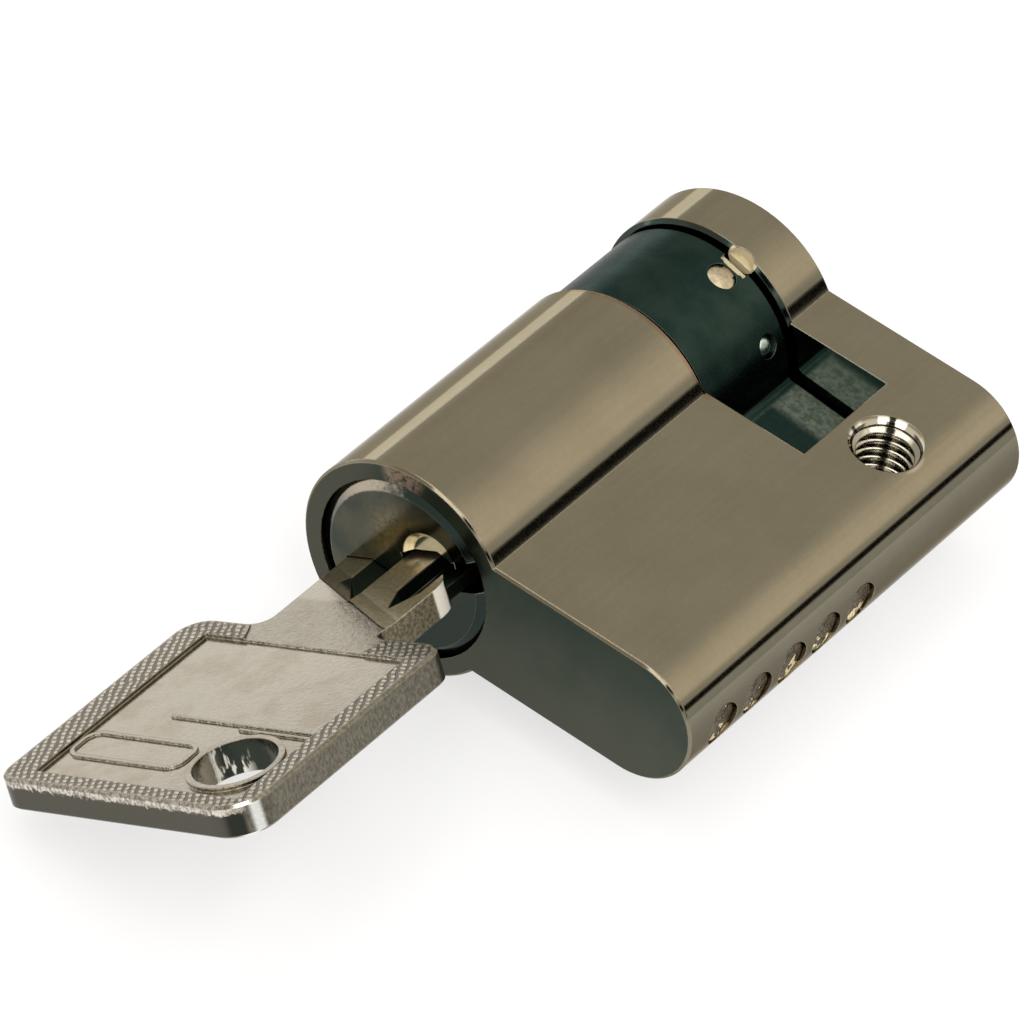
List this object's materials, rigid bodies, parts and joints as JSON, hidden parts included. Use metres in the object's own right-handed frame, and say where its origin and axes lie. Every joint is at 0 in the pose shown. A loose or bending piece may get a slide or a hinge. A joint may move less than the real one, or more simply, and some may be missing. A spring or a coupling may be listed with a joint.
{
  "type": "half euro lock cylinder",
  "caption": "Half euro-profile pin tumbler lock cylinder with its key in the turned plug, a driving cam in the side gap and a threaded fixing hole through the web.",
  "frame": {"origin": "on the fixing screw's axis, in the middle plane of the profile's web", "axes": "+Z along the fixing screw's axis out of the upper flat side, +X towards the profile's foot, +Y from the key side to the back"},
  "size_m": [0.0338, 0.0721, 0.017],
  "materials": {
    "housing": "satin nickel plate over brass",
    "plug": "dark nickel plate over brass",
    "cam": "dark oiled sintered steel",
    "cam_ball": "polished bearing steel",
    "release_button": "turned brass",
    "spring": "drawn spring steel",
    "retaining_clip": "stamped spring steel",
    "key": "stamped nickel silver",
    "key_pin": "turned brass",
    "driver_pin": "turned brass",
    "chamber_plug": "pressed and plated brass"
  },
  "bodies": {
    "housing": {"housing": "housing", "chamber_plug_1": "chamber_plug", "chamber_plug_2": "chamber_plug", "chamber_plug_3": "chamber_plug", "chamber_plug_4": "chamber_plug", "chamber_plug_5": "chamber_plug", "pin_spring_1": "spring", "pin_spring_2": "spring", "pin_spring_3": "spring", "pin_spring_4": "spring", "pin_spring_5": "spring"},
    "core": {"plug": "plug", "cam": "cam", "cam_ball": "cam_ball", "retaining_clip": "retaining_clip", "button_spring": "spring"},
    "button": {"release_button": "release_button"},
    "key": {"key": "key"},
    "key_pin_1": {"key_pin_1": "key_pin"},
    "key_pin_2": {"key_pin_2": "key_pin"},
    "key_pin_3": {"key_pin_3": "key_pin"},
    "key_pin_4": {"key_pin_4": "key_pin"},
    "key_pin_5": {"key_pin_5": "key_pin"},
    "driver_1": {"driver_pin_1": "driver_pin"},
    "driver_2": {"driver_pin_2": "driver_pin"},
    "driver_3": {"driver_pin_3": "driver_pin"},
    "driver_4": {"driver_pin_4": "driver_pin"},
    "driver_5": {"driver_pin_5": "driver_pin"}
  },
  "joints": [
    {"name": "plug_turn", "type": "hinge", "parent": "housing", "child": "core", "pos_m": [-0.0189, 0, 0], "axis": [0, 1, 0], "continuous": true},
    {"name": "key_slide", "type": "slide", "parent": "core", "child": "key", "axis": [0, -1, 0], "range_m": [0, 0.026]},
    {"name": "button_press", "type": "slide", "parent": "core", "child": "button", "axis": [-0.2538, 0, -0.9673], "range_m": [0, 0.0026], "stiffness_N_per_m": 150, "springref_m": -0.001, "deforming": ["button_spring"]},
    {"name": "key_pin_1_drop", "type": "slide", "parent": "core", "child": "key_pin_1", "axis": [-0.866, 0, -0.5], "range_m": [0, 0.00292]},
    {"name": "key_pin_2_drop", "type": "slide", "parent": "core", "child": "key_pin_2", "axis": [-0.866, 0, -0.5], "range_m": [0, 0.00237]},
    {"name": "key_pin_3_drop", "type": "slide", "parent": "core", "child": "key_pin_3", "axis": [-0.866, 0, -0.5], "range_m": [0, 0.00182]},
    {"name": "key_pin_4_drop", "type": "slide", "parent": "core", "child": "key_pin_4", "axis": [-0.866, 0, -0.5], "range_m": [0, 0.00127]},
    {"name": "key_pin_5_drop", "type": "slide", "parent": "core", "child": "key_pin_5", "axis": [-0.866, 0, -0.5], "range_m": [0, 0.00072]},
    {"name": "driver_1_lift", "type": "slide", "parent": "housing", "child": "driver_1", "axis": [1, 0, 0], "range_m": [0, 0.002], "stiffness_N_per_m": 80, "springref_m": -0.004, "deforming": ["pin_spring_1"]},
    {"name": "driver_2_lift", "type": "slide", "parent": "housing", "child": "driver_2", "axis": [1, 0, 0], "range_m": [0, 0.002], "stiffness_N_per_m": 80, "springref_m": -0.004, "deforming": ["pin_spring_2"]},
    {"name": "driver_3_lift", "type": "slide", "parent": "housing", "child": "driver_3", "axis": [1, 0, 0], "range_m": [0, 0.002], "stiffness_N_per_m": 80, "springref_m": -0.004, "deforming": ["pin_spring_3"]},
    {"name": "driver_4_lift", "type": "slide", "parent": "housing", "child": "driver_4", "axis": [1, 0, 0], "range_m": [0, 0.002], "stiffness_N_per_m": 80, "springref_m": -0.004, "deforming": ["pin_spring_4"]},
    {"name": "driver_5_lift", "type": "slide", "parent": "housing", "child": "driver_5", "axis": [1, 0, 0], "range_m": [0, 0.002], "stiffness_N_per_m": 80, "springref_m": -0.004, "deforming": ["pin_spring_5"]}
  ],
  "couplings": [
    {"joint": "key_pin_1_drop", "follows": "key_slide", "ratio": 0.11231},
    {"joint": "key_pin_2_drop", "follows": "key_slide", "ratio": 0.091153},
    {"joint": "key_pin_3_drop", "follows": "key_slide", "ratio": 0.069999},
    {"joint": "key_pin_4_drop", "follows": "key_slide", "ratio": 0.048845},
    {"joint": "key_pin_5_drop", "follows": "key_slide", "ratio": 0.027691}
  ]
}
